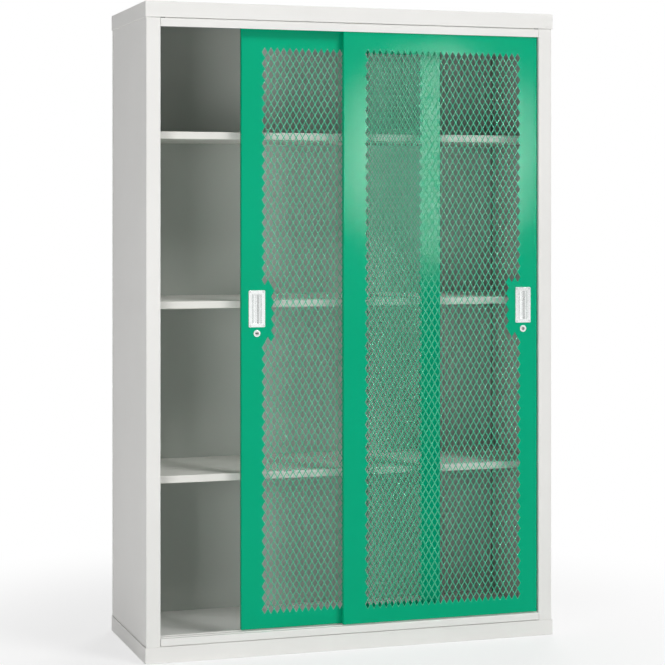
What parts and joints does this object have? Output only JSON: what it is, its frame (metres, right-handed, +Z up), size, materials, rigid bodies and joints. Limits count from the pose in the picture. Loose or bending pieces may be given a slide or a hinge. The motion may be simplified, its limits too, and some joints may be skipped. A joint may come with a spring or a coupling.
{
  "type": "sliding door cabinet",
  "caption": "Tall sheet-steel cabinet with two bypass sliding doors of pierced diamond mesh, flush pull handles, cam locks and adjustable shelves behind.",
  "frame": {"origin": "centre of the base's footprint, on the floor", "axes": "+Z up, +X to the right seen from the front, +Y from the doors towards the back"},
  "size_m": [1.226, 0.459, 1.83],
  "materials": {
    "pale_enamel": "satin baked enamel on steel sheet, warm pale grey",
    "green_enamel": "satin baked enamel on pierced steel sheet, emerald green",
    "shelf_enamel": "satin baked enamel on steel sheet, pale grey",
    "chromed_zinc": "bright plated zinc casting",
    "zinc_plate": "dull zinc-plated steel",
    "aluminium": "mill-finish extrusion",
    "nylon": "natural moulded nylon",
    "rubber": "black moulded rubber"
  },
  "bodies": {
    "cabinet": {"top_cap": "pale_enamel", "base_tray": "pale_enamel", "left_side_panel": "pale_enamel", "right_side_panel": "pale_enamel", "back_panel": "pale_enamel", "head_rail": "pale_enamel", "sill_rail": "pale_enamel", "floor_panel": "pale_enamel", "top_track": "aluminium", "front_floor_rail": "zinc_plate", "rear_floor_rail": "zinc_plate", "front_left_stop": "rubber", "front_right_stop": "rubber", "rear_left_stop": "rubber", "rear_right_stop": "rubber", "left_front_upright": "zinc_plate", "left_rear_upright": "zinc_plate", "right_front_upright": "zinc_plate", "right_rear_upright": "zinc_plate", "shelf_1": "shelf_enamel", "shelf_2": "shelf_enamel", "shelf_3": "shelf_enamel", "shelf_1_left_front_clip": "zinc_plate", "shelf_1_left_rear_clip": "zinc_plate", "shelf_1_right_front_clip": "zinc_plate", "shelf_1_right_rear_clip": "zinc_plate", "shelf_2_left_front_clip": "zinc_plate", "shelf_2_left_rear_clip": "zinc_plate", "shelf_2_right_front_clip": "zinc_plate", "shelf_2_right_rear_clip": "zinc_plate", "shelf_3_left_front_clip": "zinc_plate", "shelf_3_left_rear_clip": "zinc_plate", "shelf_3_right_front_clip": "zinc_plate", "shelf_3_right_rear_clip": "zinc_plate"},
    "left_door": {"left_door_skin": "green_enamel", "left_door_closing_roller_bracket": "zinc_plate", "left_door_far_roller_bracket": "zinc_plate", "left_door_closing_guide": "nylon", "left_door_far_guide": "nylon", "left_handle": "chromed_zinc", "left_lock_barrel": "chromed_zinc", "left_lock_nut": "zinc_plate"},
    "right_door": {"right_door_skin": "green_enamel", "right_door_closing_roller_bracket": "zinc_plate", "right_door_far_roller_bracket": "zinc_plate", "right_door_closing_guide": "nylon", "right_door_far_guide": "nylon", "right_handle": "chromed_zinc", "right_lock_barrel": "chromed_zinc", "right_lock_nut": "zinc_plate"},
    "left_lock": {"left_lock_plug": "chromed_zinc", "left_lock_cam": "zinc_plate"},
    "right_lock": {"right_lock_plug": "chromed_zinc", "right_lock_cam": "zinc_plate"},
    "left_closing_roller": {"left_door_closing_roller": "nylon"},
    "left_far_roller": {"left_door_far_roller": "nylon"},
    "right_closing_roller": {"right_door_closing_roller": "nylon"},
    "right_far_roller": {"right_door_far_roller": "nylon"}
  },
  "joints": [
    {"name": "left_door_slide", "type": "slide", "parent": "cabinet", "child": "left_door", "axis": [1, 0, 0], "range_m": [-0.234, 0.196]},
    {"name": "right_door_slide", "type": "slide", "parent": "cabinet", "child": "right_door", "axis": [1, 0, 0], "range_m": [-0.53, 0]},
    {"name": "left_lock_turn", "type": "hinge", "parent": "left_door", "child": "left_lock", "pos_m": [-0.286, -0.2015, 0.9045], "axis": [0, -1, 0], "range_deg": [0, 90]},
    {"name": "right_lock_turn", "type": "hinge", "parent": "right_door", "child": "right_lock", "pos_m": [0.52, -0.2225, 0.9045], "axis": [0, 1, 0], "range_deg": [0, 90]},
    {"name": "left_closing_roller_spin", "type": "hinge", "parent": "left_door", "child": "left_closing_roller", "pos_m": [-0.261, -0.1935, 0.0774], "axis": [0, 1, 0], "continuous": true},
    {"name": "left_far_roller_spin", "type": "hinge", "parent": "left_door", "child": "left_far_roller", "pos_m": [0.199, -0.1935, 0.0774], "axis": [0, 1, 0], "continuous": true},
    {"name": "right_closing_roller_spin", "type": "hinge", "parent": "right_door", "child": "right_closing_roller", "pos_m": [0.495, -0.2145, 0.0774], "axis": [0, 1, 0], "continuous": true},
    {"name": "right_far_roller_spin", "type": "hinge", "parent": "right_door", "child": "right_far_roller", "pos_m": [0.035, -0.2145, 0.0774], "axis": [0, 1, 0], "continuous": true}
  ],
  "couplings": [
    {"joint": "left_closing_roller_spin", "follows": "left_door_slide", "rad_per_m": 125},
    {"joint": "left_far_roller_spin", "follows": "left_door_slide", "rad_per_m": 125},
    {"joint": "right_closing_roller_spin", "follows": "right_door_slide", "rad_per_m": 125},
    {"joint": "right_far_roller_spin", "follows": "right_door_slide", "rad_per_m": 125}
  ]
}
